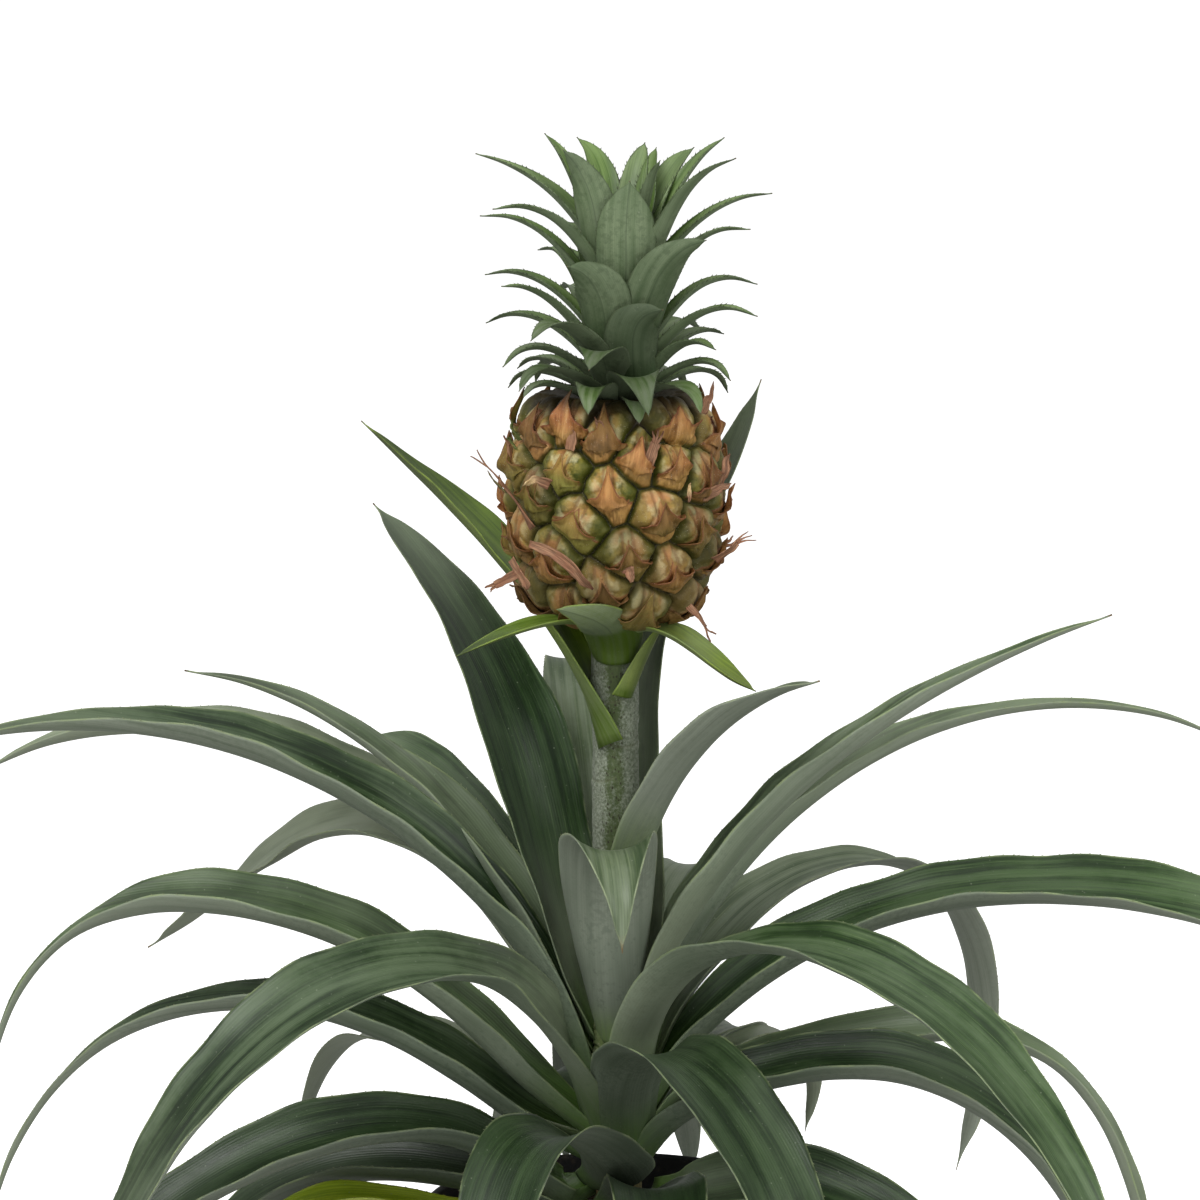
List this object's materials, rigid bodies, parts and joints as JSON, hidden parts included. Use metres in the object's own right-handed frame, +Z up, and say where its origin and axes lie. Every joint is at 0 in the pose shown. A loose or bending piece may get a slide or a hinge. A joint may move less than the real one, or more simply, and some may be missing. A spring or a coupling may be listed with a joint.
{
  "type": "potted pineapple plant",
  "caption": "Pineapple plant in a round nursery pot: an arching rosette of channelled leaves and an upright stalk with a small eyed fruit and a leafy crown.",
  "frame": {"origin": "centre of the pot's flat underside", "axes": "+Z up along the pot's axis, +X to the right and -Y towards a viewer who faces the plant's front"},
  "size_m": [0.4948, 0.3214, 0.4748],
  "materials": {
    "pot_plastic": "smooth dull black moulded plastic",
    "potting_soil": "dark crumbly peat and bark",
    "stem_skin": "leaf scars on a short green stem",
    "stalk_skin": "green skin under a pale scurfy bloom",
    "fruit_skin": "satin, golden brown eyes with olive seams",
    "leaf_dark": "satin dark green with fine lengthwise streaks",
    "leaf_green": "satin green with fine lengthwise streaks",
    "leaf_grey": "dull grey-green bloom",
    "leaf_yellowing": "satin yellow-green",
    "bract_green": "satin bright green",
    "crown_green": "satin green with a grey bloom"
  },
  "bodies": {
    "root": {"pot": "pot_plastic", "soil": "potting_soil", "rosette_stem": "stem_skin", "fruit_stalk": "stalk_skin", "fruit": "fruit_skin", "leaf_front_right_low": "leaf_dark", "leaf_front_left_low": "leaf_dark", "leaf_front_lowest": "leaf_dark", "leaf_front_inner": "leaf_grey", "leaf_right_front_arch": "leaf_green", "leaf_left_front_arch": "leaf_green", "leaf_right_long": "leaf_green", "leaf_left_long": "leaf_green", "leaf_right_upper": "leaf_green", "leaf_left_upright": "leaf_dark", "leaf_left_middle": "leaf_green", "leaf_right_inner": "leaf_grey", "leaf_left_low": "leaf_dark", "leaf_right_low": "leaf_dark", "leaf_left_drooping": "leaf_green", "leaf_right_slender": "leaf_grey", "leaf_left_upper": "leaf_green", "leaf_back_right_arch": "leaf_grey", "leaf_back_left_arch": "leaf_grey", "leaf_back_right_upright": "leaf_dark", "leaf_back_upright": "leaf_grey", "leaf_right_lowest": "leaf_dark", "leaf_left_lower_back": "leaf_dark", "leaf_right_twisted": "leaf_green", "leaf_back_left_inner": "leaf_green", "leaf_left_long_back": "leaf_grey", "leaf_back_left_low": "leaf_grey", "leaf_left_yellowing": "leaf_yellowing", "leaf_back_right_low": "leaf_grey", "leaf_back_right_inner": "leaf_grey", "leaf_back_right_small": "leaf_grey", "leaf_back_middle": "leaf_dark", "leaf_back_right_drooping": "leaf_dark", "leaf_back_left_drooping": "leaf_dark", "bract_front": "bract_green", "bract_left_long": "leaf_dark", "bract_left_thin": "bract_green", "bract_right": "bract_green", "bract_right_small": "bract_green", "crown_heart": "crown_green", "crown_leaf_01": "crown_green", "crown_leaf_02": "crown_green", "crown_leaf_03": "crown_green", "crown_leaf_04": "crown_green", "crown_leaf_05": "crown_green", "crown_leaf_06": "crown_green", "crown_leaf_07": "crown_green", "crown_leaf_08": "crown_green", "crown_leaf_09": "crown_green", "crown_leaf_10": "crown_green", "crown_leaf_11": "crown_green", "crown_leaf_12": "crown_green", "crown_leaf_13": "crown_green", "crown_leaf_14": "crown_green", "crown_leaf_15": "crown_green"}
  },
  "joints": []
}
